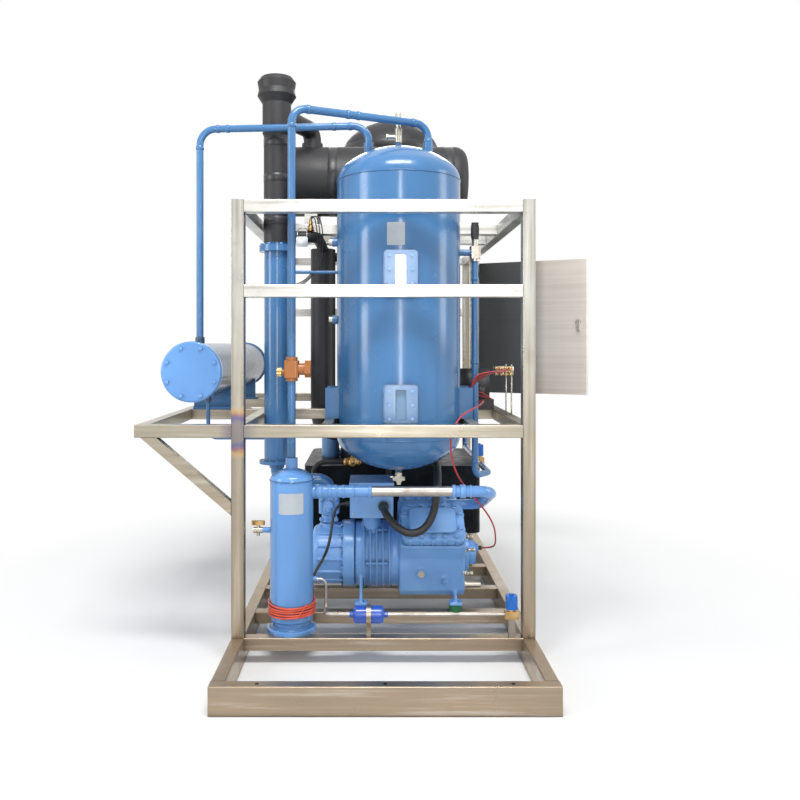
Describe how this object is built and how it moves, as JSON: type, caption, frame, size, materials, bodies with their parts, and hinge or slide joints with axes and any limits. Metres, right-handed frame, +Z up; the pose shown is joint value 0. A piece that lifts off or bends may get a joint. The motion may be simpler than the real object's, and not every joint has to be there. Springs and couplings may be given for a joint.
{
  "type": "tube ice machine",
  "caption": "Tube ice machine: open steel frame carrying a liquid receiver, compressor, oil separator, side condenser, insulated evaporator and drum, and a control cabinet.",
  "frame": {"origin": "on the floor, at the middle of the base frame and of its six anchor holes", "axes": "+X to the right seen from the front, +Y to the back, +Z up"},
  "size_m": [2.175, 2.54, 2.46],
  "materials": {
    "stainless": "brushed",
    "blue_paint": "gloss",
    "insulation": "matte",
    "cutter_drive_paint": "satin",
    "orange_valve": "satin",
    "brass": "satin",
    "drier_blue": "gloss",
    "coil_blue": "gloss",
    "heater_orange": "satin",
    "pad_green": "matte",
    "sight_glass": "gloss",
    "black_plastic": "matte",
    "black_cable": "matte",
    "red_cable": "satin"
  },
  "bodies": {
    "machine": {"ball_valve": "stainless", "base_rails": "stainless", "bearers": "stainless", "bolt_heads": "blue_paint", "brackets": "stainless", "cabinet_back_plate": "stainless", "cabinet_body": "stainless", "cable_glands": "black_plastic", "cable_trunk": "black_plastic", "compressor_crankcase": "blue_paint", "compressor_end_bell": "blue_paint", "compressor_pads": "pad_green", "condenser_covers": "blue_paint", "condenser_shell": "blue_paint", "corner_posts": "stainless", "cutter_drive": "cutter_drive_paint", "cutter_housing": "stainless", "cylinder_heads": "blue_paint", "discharge_pipes": "blue_paint", "drain_valves": "stainless", "evaporator_shell": "insulation", "filter_drier": "drier_blue", "frame_rails": "stainless", "gas_pipes": "blue_paint", "heater_lead": "black_cable", "ice_chute": "stainless", "liquid_pipe": "blue_paint", "oil_pump_cover": "blue_paint", "oil_separator": "blue_paint", "power_conduit": "black_cable", "receiver_gauge_frames": "blue_paint", "receiver_gauge_glasses": "sight_glass", "receiver_shell": "blue_paint", "red_cable": "red_cable", "relief_valve": "stainless", "separator_heater": "heater_orange", "service_valves": "blue_paint", "shelf_rails": "stainless", "sight_glasses": "sight_glass", "solenoid_coils": "coil_blue", "solenoid_valves": "brass", "stop_valve": "orange_valve", "suction_branches": "insulation", "suction_column": "blue_paint", "suction_drum": "insulation", "suction_pipe": "blue_paint", "suction_riser": "insulation", "tank_legs": "stainless", "terminal_box": "blue_paint", "thin_lines": "stainless", "water_pump": "blue_paint", "water_tank": "stainless"},
    "door": {"cabinet_door": "stainless"},
    "lock": {"cabinet_lock": "black_plastic"},
    "stop_knob": {"stop_valve_knob": "brass"},
    "receiver_wheel": {"receiver_drain_wheel": "brass"},
    "separator_handle": {"separator_drain_handle": "brass"},
    "liquid_handle": {"ball_valve_handle": "black_plastic"},
    "cutter": {"cutter_disc": "stainless"}
  },
  "joints": [
    {"name": "door_hinge", "type": "hinge", "parent": "machine", "child": "door", "pos_m": [0.581, 0.761, 1.335], "axis": [0, 0, 1], "range_deg": [-65, 25]},
    {"name": "lock_turn", "type": "hinge", "parent": "door", "child": "lock", "pos_m": [1.09645, 0.49637, 1.36], "axis": [-0.4226, -0.9063, 0], "range_deg": [0, 90]},
    {"name": "stop_valve_turn", "type": "hinge", "parent": "machine", "child": "stop_knob", "pos_m": [-0.406, -0.728, 1.127], "axis": [-1, 0, 0], "range_deg": [0, 720]},
    {"name": "receiver_drain_turn", "type": "hinge", "parent": "machine", "child": "receiver_wheel", "pos_m": [0.07, -0.509, 0.667], "axis": [0, -1, 0], "range_deg": [0, 720]},
    {"name": "separator_drain_turn", "type": "hinge", "parent": "machine", "child": "separator_handle", "pos_m": [-0.499, -0.728, 0.516], "axis": [0, 0, 1], "range_deg": [0, 90]},
    {"name": "liquid_valve_turn", "type": "hinge", "parent": "machine", "child": "liquid_handle", "pos_m": [0.4, -0.475, 1.689], "axis": [0, 0, 1], "range_deg": [0, 90]},
    {"name": "cutter_spin", "type": "hinge", "parent": "machine", "child": "cutter", "pos_m": [0.06, 0.496, 0.672], "axis": [0, 0, 1], "continuous": true}
  ]
}
